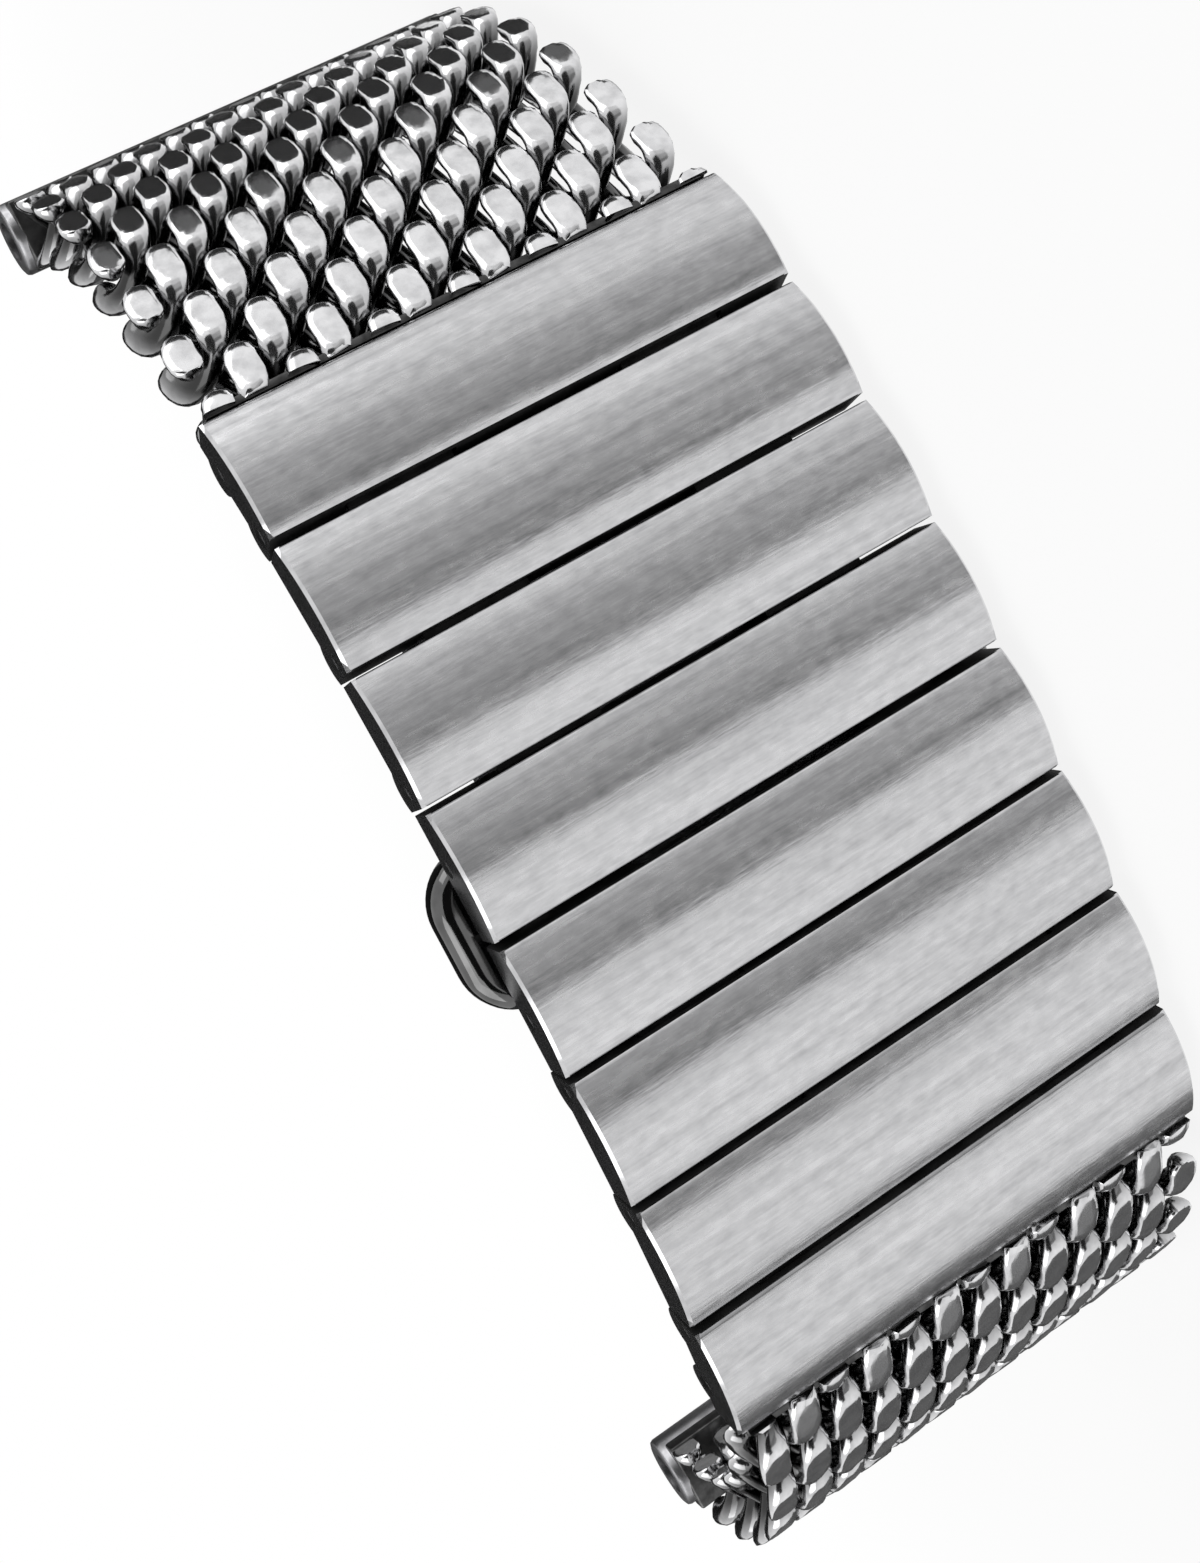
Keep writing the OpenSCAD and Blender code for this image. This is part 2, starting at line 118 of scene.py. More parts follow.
CAMERA_AT = (12.34 * MM, -74.68 * MM, 35.76 * MM)
CAMERA_SENSOR = 36
CAMERA_LENS = 44.34
CAMERA_SHIFT = (0.0591, -0.1034)
CAMERA_CLIP = (0.001, 10)
CAMERA_RIGHT = (-0.46521, -0.27731, -0.84064)
CAMERA_UP = (0.88285, -0.07616, -0.46344)
CAMERA_BACK = (0.06449, -0.95776, 0.28026)


def place_camera():
    """Camera at the photograph's viewing angle: the bracelet stands on its edge and the picture is turned."""
    data = bpy.data.cameras.new("camera")
    camera = bpy.data.objects.new("camera", data)
    bpy.context.scene.collection.objects.link(camera)
    bpy.context.scene.camera = camera
    data.sensor_width = CAMERA_SENSOR
    data.lens = CAMERA_LENS
    data.shift_x, data.shift_y = CAMERA_SHIFT
    data.clip_start, data.clip_end = CAMERA_CLIP
    turn = Matrix((CAMERA_RIGHT, CAMERA_UP, CAMERA_BACK)).transposed()
    camera.matrix_world = Matrix.Translation(CAMERA_AT) @ turn.to_4x4()


place_camera()


# Materials

# Brushed grain: scale across and lengthwise and detail of each of its noises, and its share in the blend
FINE_GRAIN, FINE_SHARE = (9000, 900, 3), 0.25
BAND_GRAIN, BAND_SHARE = (2400, 60, 2), 0.4
CLOUD_GRAIN, CLOUD_SHARE = (2600, 1500, 4), 0.35
GRAIN_DARK_AT, GRAIN_LIGHT_AT = 0.34, 0.66
GRAIN_ROUGHNESS, GRAIN_ROUGHENING = 0.2, 0.1
GRAIN_DEPTH = 0.02 * MM
BRUSHED_ROUGHNESS = 0.3

# Speckles of the other metals: the noise's detail, where it turns dark and light, and its pull on roughness
SPECKLE_DETAIL = 4
SPECKLE_DARK_AT, SPECKLE_LIGHT_AT = 0.35, 0.62
SPECKLE_ROUGHEST, SPECKLE_SMOOTHEST = 1.4, 0.7

# How much shine is left on the shade painted in the gaps
GAP_SHADE_SHINE = 0.08
# Near-black colour painted as shade deep in the mesh, where the strands hide each other
WIRE_PAINTED_SHADE = (0.05, 0.05, 0.05)


def new_material(name, colour, roughness):
    """A metal with its shader, ready for the finish."""
    material = bpy.data.materials.new(name)
    material.use_nodes = True
    shader = material.node_tree.nodes["Principled BSDF"]
    shader.inputs["Base Color"].default_value = (*colour, 1)
    shader.inputs["Roughness"].default_value = roughness
    shader.inputs["Metallic"].default_value = 1
    return material


def brushed_group():
    """Grain along Z: fine lines, long bands and soft clouds, blended into colour and roughness."""
    group = bpy.data.node_groups.new("brushed_grain", "ShaderNodeTree")
    face = group.interface
    face.new_socket("Light", in_out="INPUT", socket_type="NodeSocketColor")
    face.new_socket("Dark", in_out="INPUT", socket_type="NodeSocketColor")
    face.new_socket("Color", in_out="OUTPUT", socket_type="NodeSocketColor")
    face.new_socket("Roughness", in_out="OUTPUT", socket_type="NodeSocketFloat")
    face.new_socket("Height", in_out="OUTPUT", socket_type="NodeSocketFloat")
    nodes, links = group.nodes, group.links
    given = nodes.new("NodeGroupInput")
    result = nodes.new("NodeGroupOutput")
    where = nodes.new("ShaderNodeTexCoord")

    def lines(across, lengthwise, detail):
        stretch = nodes.new("ShaderNodeMapping")
        stretch.inputs["Scale"].default_value = (across, across, lengthwise)
        links.new(where.outputs["Object"], stretch.inputs["Vector"])
        noise = nodes.new("ShaderNodeTexNoise")
        noise.inputs["Scale"].default_value = 1
        noise.inputs["Detail"].default_value = detail
        links.new(stretch.outputs["Vector"], noise.inputs["Vector"])
        return noise.outputs["Fac"]

    def mixed(kind, a, b):
        node = nodes.new("ShaderNodeMath")
        node.operation = kind
        for socket, value in zip(node.inputs, (a, b)):
            if isinstance(value, (int, float)):
                socket.default_value = value
            else:
                links.new(value, socket)
        return node.outputs[0]

    fine, bands, cloud = lines(*FINE_GRAIN), lines(*BAND_GRAIN), lines(*CLOUD_GRAIN)
    blend = mixed("ADD", mixed("MULTIPLY", fine, FINE_SHARE), mixed("MULTIPLY", bands, BAND_SHARE))
    blend = mixed("ADD", blend, mixed("MULTIPLY", cloud, CLOUD_SHARE))
    ramp = nodes.new("ShaderNodeMapRange")
    ramp.inputs["From Min"].default_value = GRAIN_DARK_AT
    ramp.inputs["From Max"].default_value = GRAIN_LIGHT_AT
    links.new(blend, ramp.inputs["Value"])
    colour = nodes.new("ShaderNodeMix")
    colour.data_type = "RGBA"
    links.new(ramp.outputs["Result"], colour.inputs["Factor"])
    links.new(given.outputs["Dark"], colour.inputs[6])
    links.new(given.outputs["Light"], colour.inputs[7])
    links.new(colour.outputs[2], result.inputs["Color"])
    rougher = mixed("MULTIPLY", ramp.outputs["Result"], GRAIN_ROUGHENING)
    links.new(mixed("ADD", rougher, GRAIN_ROUGHNESS), result.inputs["Roughness"])
    links.new(fine, result.inputs["Height"])
    return group


BRUSHED = brushed_group()


def brushed_metal(name, light, dark, bump):
    """Brushed metal whose grain runs between two greys."""
    material = new_material(name, light, BRUSHED_ROUGHNESS)
    nodes, links = material.node_tree.nodes, material.node_tree.links
    grain = nodes.new("ShaderNodeGroup")
    grain.node_tree = BRUSHED
    grain.inputs["Light"].default_value = (*light, 1)
    grain.inputs["Dark"].default_value = (*dark, 1)
    relief = nodes.new("ShaderNodeBump")
    relief.inputs["Strength"].default_value = bump
    relief.inputs["Distance"].default_value = GRAIN_DEPTH
    shader = nodes["Principled BSDF"]
    links.new(grain.outputs["Height"], relief.inputs["Height"])
    links.new(relief.outputs["Normal"], shader.inputs["Normal"])
    links.new(grain.outputs["Color"], shader.inputs["Base Color"])
    links.new(grain.outputs["Roughness"], shader.inputs["Roughness"])
    return material


def speckled_metal(name, colour, dark, roughness, scale):
    """Polished or tumbled metal: small stains and a roughness that wanders a little."""
    material = new_material(name, colour, roughness)
    nodes, links = material.node_tree.nodes, material.node_tree.links
    where = nodes.new("ShaderNodeTexCoord")
    noise = nodes.new("ShaderNodeTexNoise")
    noise.inputs["Scale"].default_value = scale
    noise.inputs["Detail"].default_value = SPECKLE_DETAIL
    links.new(where.outputs["Object"], noise.inputs["Vector"])
    mix = nodes.new("ShaderNodeMix")
    mix.data_type = "RGBA"
    mix.inputs[6].default_value = (*dark, 1)
    mix.inputs[7].default_value = (*colour, 1)
    steep = nodes.new("ShaderNodeMapRange")
    steep.inputs["From Min"].default_value = SPECKLE_DARK_AT
    steep.inputs["From Max"].default_value = SPECKLE_LIGHT_AT
    links.new(noise.outputs["Fac"], steep.inputs["Value"])
    links.new(steep.outputs["Result"], mix.inputs["Factor"])
    rough = nodes.new("ShaderNodeMapRange")
    rough.inputs["To Min"].default_value = roughness * SPECKLE_ROUGHEST
    rough.inputs["To Max"].default_value = roughness * SPECKLE_SMOOTHEST
    links.new(noise.outputs["Fac"], rough.inputs["Value"])
    shader = nodes["Principled BSDF"]
    links.new(mix.outputs[2], shader.inputs["Base Color"])
    links.new(rough.outputs["Result"], shader.inputs["Roughness"])
    return material


def dulled(material):
    """Takes the metal's shine away, so that the near-black faces in the narrow gaps read as painted shade."""
    inputs = material.node_tree.nodes["Principled BSDF"].inputs
    inputs["Metallic"].default_value = 0
    inputs["Specular IOR Level"].default_value = GAP_SHADE_SHINE
    return material


BAR_STEEL = brushed_metal("brushed_bar", (0.7, 0.7, 0.71), (0.45, 0.45, 0.46), 0.3)
CLASP_STEEL = brushed_metal("satin_clasp", (0.5, 0.5, 0.51), (0.38, 0.38, 0.39), 0.3)
EDGE_STEEL = speckled_metal("polished_edge", (0.62, 0.62, 0.63), (0.5, 0.5, 0.51), 0.14, 1500)
# Near-black and matte: shade painted on the bars' flanks in the narrow gaps
GAP_SHADE_STEEL = dulled(speckled_metal("painted_gap_shade", (0.03, 0.03, 0.03), (0.015, 0.015, 0.015), 0.4, 1200))
PIN_STEEL = speckled_metal("ground_pin", (0.5, 0.5, 0.51), (0.35, 0.35, 0.36), 0.3, 2500)
# Polished steel given a near-black colour: a painted dark reflection of the surroundings that the button
# mirrors
BUTTON_PAINTED_DARK = speckled_metal("polished_button_painted_dark", (0.14, 0.14, 0.14), (0.1, 0.1, 0.1), 0.08, 900)
SPRING_STEEL = speckled_metal("drawn_spring", (0.45, 0.45, 0.46), (0.3, 0.3, 0.31), 0.3, 3000)
WIRE_STEEL = speckled_metal("polished_wire", (0.78, 0.78, 0.79), (0.6, 0.6, 0.61), 0.15, 1400)
END_STEEL = speckled_metal("ground_end", (0.42, 0.42, 0.43), (0.34, 0.34, 0.35), 0.18, 1500)
# Near-black: shade painted on the plates in the joints at the mesh's ends, between the strands, the bar and
# the tubes
PLATE_PAINTED_SHADE = speckled_metal("end_plate", (0.1, 0.1, 0.1), (0.05, 0.05, 0.05), 0.35, 2000)
TUBE_STEEL = speckled_metal("end_tube", (0.42, 0.42, 0.43), (0.3, 0.3, 0.31), 0.3, 2000)


def paint_sunken_shade(material, depth_name, dark):
    """Paints shade into the mesh's depths: strands turn dark towards the coil's middle and keep their bare
    colour on the pressed faces.
    """
    nodes, links = material.node_tree.nodes, material.node_tree.links
    shader = nodes["Principled BSDF"]
    bare = shader.inputs["Base Color"].links[0].from_socket
    shade_fade = nodes.new("ShaderNodeAttribute")
    shade_fade.attribute_name = depth_name
    painted_shade = nodes.new("ShaderNodeMix")
    painted_shade.data_type = "RGBA"
    painted_shade.inputs[6].default_value = (*dark, 1)
    links.new(bare, painted_shade.inputs[7])
    links.new(shade_fade.outputs["Fac"], painted_shade.inputs["Factor"])
    links.new(painted_shade.outputs[2], shader.inputs["Base Color"])


# The wire gets painted shade in the mesh's depths
paint_sunken_shade(WIRE_STEEL, "shade_fade", WIRE_PAINTED_SHADE)


# Pieces of the mesh

MERGE = 0.002 * MM
COPY_MERGE = 0.001 * MM
WIRE_SIDES = 16
TURN_STEPS = 14
# Steps of the wire's round tip: how far on, in wire radii, and how much narrower
TIP = ((0.5, 0.87), (0.36, 0.57))
# Angles in degrees under which shading stays smooth
SMOOTH = 40
WIRE_SMOOTH = 75
BUTTON_SMOOTH = 60
BAR_SMOOTH = 20


def start_edit(add, **size):
    """Adds one primitive and opens it for editing."""
    bpy.ops.object.select_all(action="DESELECT")
    add(**size)
    bpy.ops.object.mode_set(mode="EDIT")


def end_edit(name):
    """Closes the edited piece with its normals outwards and its place in its mesh."""
    bpy.ops.mesh.select_all(action="SELECT")
    bpy.ops.mesh.remove_doubles(threshold=MERGE)
    bpy.ops.mesh.normals_make_consistent(inside=False)
    bpy.ops.object.mode_set(mode="OBJECT")
    piece = bpy.context.object
    piece.name = name
    bpy.ops.object.transform_apply(location=True, rotation=True, scale=True)
    return piece


def cap_wire(direction):
    """Runs the selected ring out straight and closes it with a round tip."""
    bpy.ops.mesh.extrude_region_move(TRANSFORM_OT_translate={"value": (direction * TAIL, 0, 0)})
    for step, width in TIP:
        bpy.ops.mesh.extrude_region_move(TRANSFORM_OT_translate={"value": (direction * step * WIRE_R, 0, 0)})
        bpy.ops.transform.resize(value=(1, width, width))
    bpy.ops.mesh.edge_face_add()


def wind_coil():
    """One coil of the mesh: a ring of wire is spun through half turns that lean along the coil."""
    start_edit(
        bpy.ops.mesh.primitive_circle_add,
        vertices=WIRE_SIDES,
        radius=WIRE_R,
        fill_type="NOTHING",
        location=(0, -COIL_HALF, 0),
        rotation=(0, pi / 2, 0),
    )
    bpy.ops.mesh.select_all(action="SELECT")
    for k in range(HALF_TURNS):
        front = k % 2 == 0
        from_middle = Vector((0, -COIL_HALF if front else COIL_HALF, -COIL_PITCH / 4))
        axis = from_middle.cross(Vector((1, 0, 0))).normalized() * (1 if front else -1)
        bpy.ops.mesh.spin(
            steps=TURN_STEPS,
            angle=pi,
            center=(0, 0, (k + 0.5) * COIL_PITCH / 2),
            axis=axis,
        )
    cap_wire(-1)
    bpy.ops.mesh.select_all(action="DESELECT")
    bpy.ops.object.mode_set(mode="OBJECT")
    piece = bpy.context.object
    open_ring = set()
    uses = {}
    for face in piece.data.polygons:
        for edge in face.edge_keys:
            uses[edge] = uses.get(edge, 0) + 1
    for edge, count in uses.items():
        if count == 1:
            open_ring.update(edge)
    for vertex in piece.data.vertices:
        vertex.select = vertex.index in open_ring
    bpy.ops.object.mode_set(mode="EDIT")
    bpy.ops.mesh.select_mode(type="VERT")
    cap_wire(1)
    return end_edit("coil")


coil = wind_coil()

# Pressing starts at this depth from the coil's middle and is full one ramp further out
PRESS_FROM = 0.6 * MM
PRESS_RAMP = 0.5 * MM
PRESS_SPREAD = 0.38
PRESS_PUSH = 0.2 * MM
PRESS_FLAT = COIL_HALF + WIRE_R - 0.12 * MM
# Within this depth from the coil's middle the shade is painted in full; it fades out towards the pressed
# faces
SHADE_FADE_FROM = 0.3 * MM


def press_coil(piece):
    """Flattens the strands on both faces of the mesh to a plane, spreads them and marks how far out each
    point lies, which sets where shade is painted.
    """
    for vertex in piece.data.vertices:
        x, y, z = vertex.co
        depth = abs(y) - PRESS_FROM
        if depth <= 0:
            continue
        side = -1 if y < 0 else 1
        column = round(z / (COIL_PITCH / 2))
        if (column % 2 == 0) != (side < 0):
            column += 1 if z / (COIL_PITCH / 2) > column else -1
        lean = COIL_PITCH / 4 * (1 - sqrt(max(0, 1 - (x / RING_R) ** 2)))
        middle = column * COIL_PITCH / 2 - (lean if x > 0 else -lean) * (1 if side < 0 else -1)
        share = min(1, depth / PRESS_RAMP)
        vertex.co.z = middle + (z - middle) * (1 + PRESS_SPREAD * share)
        vertex.co.y = side * min(abs(y) + PRESS_PUSH * share, PRESS_FLAT)
    # How far the painted shade has faded: 0 deep in the mesh, 1 on its pressed faces
    shade_fade = piece.data.attributes.new("shade_fade", "FLOAT", "POINT")
    for vertex in piece.data.vertices:
        share = (abs(vertex.co.y) - SHADE_FADE_FROM) / (PRESS_FLAT - SHADE_FADE_FROM)
        shade_fade.data[vertex.index].value = max(0, share) ** 2


press_coil(coil)


def copy_piece(source, name, matrix):
    piece = source.copy()
    piece.data = source.data.copy()
    piece.name = name
    piece.data.transform(matrix)
    bpy.context.scene.collection.objects.link(piece)
    return piece


def join_pieces(pieces, name):
    bpy.ops.object.select_all(action="DESELECT")
    for piece in pieces:
        piece.select_set(True)
    bpy.context.view_layer.objects.active = pieces[0]
    if len(pieces) > 1:
        bpy.ops.object.join()
    piece = bpy.context.object
    piece.name = name
    return piece


def coil_at(side, i, name):
    turn = Matrix.Rotation(pi, 4, "Z") if i % 2 else Matrix.Identity(4)
    return copy_piece(coil, name, row_matrix(side, i) @ turn)


def finish_piece(piece, material, slot, body, *nodes, angle=SMOOTH):
    """Gives a piece its material and shading, its body, and the nodes that it replaces; slot is not used."""
    piece.data.materials.clear()
    piece.data.materials.append(material)
    bpy.ops.object.select_all(action="DESELECT")
    piece.select_set(True)
    bpy.context.view_layer.objects.active = piece
    bpy.ops.object.shade_smooth_by_angle(angle=radians(angle))
    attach(piece, body)
    if nodes:
        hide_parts(*nodes)
    return piece


def cut_coils(pieces, place, normal, name):
    """Joins coils and cuts away what lies behind a plane."""
    piece = join_pieces(pieces, name)
    bpy.ops.object.mode_set(mode="EDIT")
    bpy.ops.mesh.select_all(action="SELECT")
    bpy.ops.mesh.bisect(plane_co=place, plane_no=normal, clear_inner=True, use_fill=True)
    bpy.ops.object.mode_set(mode="OBJECT")
    return piece


ROUND_STEP = 0.3

# Ends of the mesh: places along the band and inwards, then sizes, then how much the edges are eased.
# The end plate, neck and tube are placed from BAR_FAR in the last bar, the lug's pieces from the last row.
PLATE_LOW, PLATE_HIGH = LOW_Z + 0.35 * MM, HIGH_Z - 0.35 * MM
NECK_LOW, NECK_HIGH = LOW_Z + 1.7 * MM, HIGH_Z - 1.7 * MM
FIRST_CUT = 0.2 * MM
END_PLATE_AT, END_PLATE, END_PLATE_EASE = (0.275 * MM, 0.15 * MM), (0.35 * MM, 2.5 * MM), 0.08 * MM
END_NECK_AT, END_NECK, END_NECK_EASE = (-0.45 * MM, 0.25 * MM), (1.2 * MM, 1.4 * MM), 0.1 * MM
END_TUBE_AT, END_TUBE, END_TUBE_EASE = (-1.4 * MM, 0.25 * MM), (0.43 * MM, 0.8 * MM), 0.1 * MM
LAST_CUT = 0.75 * MM
LUG_PLATE_AT, LUG_PLATE, LUG_PLATE_EASE = 0.85 * MM, (0.9 * MM, 3.1 * MM), 0.12 * MM
LUG_TUBE_AT, LUG_TUBE, LUG_TUBE_EASE = 2.0 * MM, (0.9 * MM, 1.6 * MM), 0.2 * MM


def unit_along(hand, degrees):
    return Vector((hand * cos(radians(degrees)), sin(radians(degrees)), 0))


def place_in_bar(side, x, y, z):
    """A point given in the frame of the bar next to the mesh."""
    hand = 1 if side == RIGHT else -1
    flat = along(bar_pin(3), BAR_DIR[3], x, y)
    return HOME + Vector((hand * flat[0], flat[1], z))


def turned_ring(name, place, profile):
    """A ring turned about Z, whose profile of radius and height is walked round and ends where it began."""
    radius, height = profile[0]
    start_edit(
        bpy.ops.mesh.primitive_circle_add,
        vertices=48,
        radius=radius,
        fill_type="NOTHING",
        location=(place[0], place[1], height),
    )
    bpy.ops.mesh.select_all(action="SELECT")
    for next_radius, next_height in profile[1:] + profile[:1]:
        bpy.ops.mesh.extrude_region_move(TRANSFORM_OT_translate={"value": (0, 0, next_height - height)})
        ratio = next_radius / radius
        bpy.ops.transform.resize(value=(ratio, ratio, 1), center_override=(place[0], place[1], next_height))
        radius, height = next_radius, next_height
    return end_edit(name)


def eased_block(name, middle, turn, size, bevel):
    """A flat bar with rounded edges, turned about Z."""
    start_edit(
        bpy.ops.mesh.primitive_cube_add,
        size=1,
        location=middle,
        rotation=(0, 0, turn),
        scale=size,
    )
    bpy.ops.mesh.select_all(action="SELECT")
    bpy.ops.mesh.bevel(offset=bevel, segments=3, affect="EDGES")
    return end_edit(name)


def tube_profile(bore, outer, low, high, round_off):
    """The profile of a tube for turned_ring, with its outer edges rounded in two steps."""
    step = ROUND_STEP * round_off
    return [
        (bore, low),
        (outer - round_off, low),
        (outer - step, low + step),
        (outer, low + round_off),
        (outer, high - round_off),
        (outer - step, high - step),
        (outer - round_off, high),
        (bore, high),
    ]


def first_rows(side, word):
    """The mesh's first two rows, held by a plate whose tube turns in the last bar's pocket."""
    hand = 1 if side == RIGHT else -1
    outwards = unit_along(hand, BAR_DIR[3])
    turn = hand * radians(BAR_DIR[3])
    rows = cut_coils(
        [coil_at(side, 0, "strands"), coil_at(side, 1, "strands")],
        place_in_bar(side, BAR_FAR + FIRST_CUT, 0, 0),
        outwards,
        "first_rows_" + word,
    )
    finish_piece(rows, WIRE_STEEL, "wire_steel", word + "_mesh_1", "mesh_end_" + word, angle=WIRE_SMOOTH)
    plate = eased_block(
        "end_plate_" + word,
        place_in_bar(side, BAR_FAR + END_PLATE_AT[0], END_PLATE_AT[1], MID_Z),
        turn,
        (*END_PLATE, PLATE_HIGH - PLATE_LOW),
        END_PLATE_EASE,
    )
    neck = eased_block(
        "end_neck_" + word,
        place_in_bar(side, BAR_FAR + END_NECK_AT[0], END_NECK_AT[1], MID_Z),
        turn,
        (*END_NECK, NECK_HIGH - NECK_LOW),
        END_NECK_EASE,
    )
    tube = turned_ring(
        "end_tube_" + word,
        place_in_bar(side, BAR_FAR + END_TUBE_AT[0], END_TUBE_AT[1], 0),
        tube_profile(*END_TUBE, NECK_LOW, NECK_HIGH, END_TUBE_EASE),
    )
    for piece, steel in ((plate, PLATE_PAINTED_SHADE), (neck, TUBE_STEEL), (tube, TUBE_STEEL)):
        finish_piece(piece, steel, "wire_steel", word + "_mesh_1", "mesh_end_" + word)


def last_row(side, word):
    """The mesh's last row, whose strands run into a plate on the tube of the spring bar."""
    hand = 1 if side == RIGHT else -1
    place = row_matrix(side, LAST_ROW)
    turn = hand * radians(row_dir(side, LAST_ROW))
    body, node = "%s_mesh_%d" % (word, STRETCHES), "lug_end_" + word

    def in_row(x, y, z):
        return place @ Vector((hand * x, y, z - FIRST_COLUMN))

    row = cut_coils(
        [coil_at(side, LAST_ROW, "strands")],
        in_row(LAST_CUT, 0, 0),
        -unit_along(hand, row_dir(side, LAST_ROW)),
        "last_row_" + word,
    )
    finish_piece(row, WIRE_STEEL, "wire_steel", body, node, angle=WIRE_SMOOTH)
    plate = eased_block(
        "lug_plate_" + word,
        in_row(LUG_PLATE_AT, 0, MID_Z),
        turn,
        (*LUG_PLATE, PLATE_HIGH - PLATE_LOW),
        LUG_PLATE_EASE,
    )
    tube = turned_ring(
        "lug_tube_" + word,
        in_row(LUG_TUBE_AT, 0, MID_Z),
        tube_profile(*LUG_TUBE, LOW_Z, HIGH_Z, LUG_TUBE_EASE),
    )
    for piece, steel in ((plate, PLATE_PAINTED_SHADE), (tube, TUBE_STEEL)):
        finish_piece(piece, steel, "wire_steel", body, node)


for side, word in ((RIGHT, "right"), (LEFT, "left")):
    for j in range(STRETCHES):
        rows = range(max(END_ROWS, STRETCH_ROWS * j), min(LAST_ROW, STRETCH_ROWS * (j + 1)))
        coils = [coil_at(side, i, "strands") for i in rows]
        body, ending = "%s_mesh_%d" % (word, j + 1), "%s_%d" % (word, j + 1)
        woven = join_pieces(coils, "woven_" + ending)
        finish_piece(woven, WIRE_STEEL, "wire_steel", body, "mesh_" + ending, angle=WIRE_SMOOTH)
    first_rows(side, word)
    last_row(side, word)

bpy.data.objects.remove(coil)


# Bars

EASE = 0.12 * MM
EASE_STEPS = 3
FLAT_ANGLE = 0.5
BAR_NOSE = 0.65 * MM
BAR_W = 4.92 * MM
BAR_CROWN = 0.55 * MM
CROWN_R = ((BAR_W / 2) ** 2 + BAR_CROWN**2) / (2 * BAR_CROWN)
# The chamfer at a bar's ends, in the part's source and as drawn here
SOURCE_CHAMFER = 0.3 * MM
CHAMFER = 0.12 * MM
# Only what lies further out than this belongs to a bar's crown
CROWN_FROM = -0.5 * MM
NEAR = 0.02 * MM
LONG_EDGE = 1 * MM
# How much of a face's normal runs along the bar: at an end, on a chamfer, and on a face that runs lengthwise
END_NORMAL = 0.95
LEANING = 0.3
LENGTHWISE = 0.1
# How far under its corner a bar's rounded edge is polished
EDGE_REACH = 0.6 * EASE
# Faces that look towards the wrist more than this are the underside
UNDERSIDE = 0.7


def bar_frame(k, hand):
    """The frame of bar k of a half, counted from the clasp's middle, as a matrix."""
    flat = bar_pin(k)
    mirror = Matrix.Diagonal((hand, 1, 1, 1))
    return (
        Matrix.Translation(HOME)
        @ mirror
        @ Matrix.Translation((flat[0], flat[1], 0))
        @ Matrix.Rotation(radians(BAR_DIR[k]), 4, "Z")
    )


def own_copy(node, name):
    """The node's shape as a piece of its own, with its points merged."""
    piece = bpy.data.objects.new(name, frame["nodes"][node].data.copy())
    bpy.context.scene.collection.objects.link(piece)
    bpy.ops.object.select_all(action="DESELECT")
    piece.select_set(True)
    bpy.context.view_layer.objects.active = piece
    if piece.data.has_custom_normals:
        bpy.ops.mesh.customdata_custom_splitnormals_clear()
    bpy.ops.object.mode_set(mode="EDIT")
    bpy.ops.mesh.select_mode(type="EDGE")
    bpy.ops.mesh.select_all(action="SELECT")
    bpy.ops.mesh.remove_doubles(threshold=COPY_MERGE)
    bpy.ops.object.mode_set(mode="OBJECT")
    return piece


def eased_copy(node, name, reshape, sharp_edge, finish_of, finishes):
    """The node's own shape with chosen edges rounded, and each face given its finish."""
    piece = own_copy(node, name)
    bpy.ops.object.mode_set(mode="EDIT")
    bpy.ops.mesh.dissolve_limited(angle_limit=radians(FLAT_ANGLE))
    bpy.ops.mesh.select_all(action="DESELECT")
    bpy.ops.object.mode_set(mode="OBJECT")
    points = [v.co for v in piece.data.vertices]
    for point in points:
        point[:] = reshape(point)
    for edge in piece.data.edges:
        a, b = (points[i] for i in edge.vertices)
        edge.select = sharp_edge(a, b)
    bpy.ops.object.mode_set(mode="EDIT")
    bpy.ops.mesh.bevel(offset=EASE, segments=EASE_STEPS, affect="EDGES")
    bpy.ops.object.mode_set(mode="OBJECT")
    piece.data.materials.clear()
    for material in finishes:
        piece.data.materials.append(material)
    for face in piece.data.polygons:
        face.material_index = finish_of(face)
    return piece


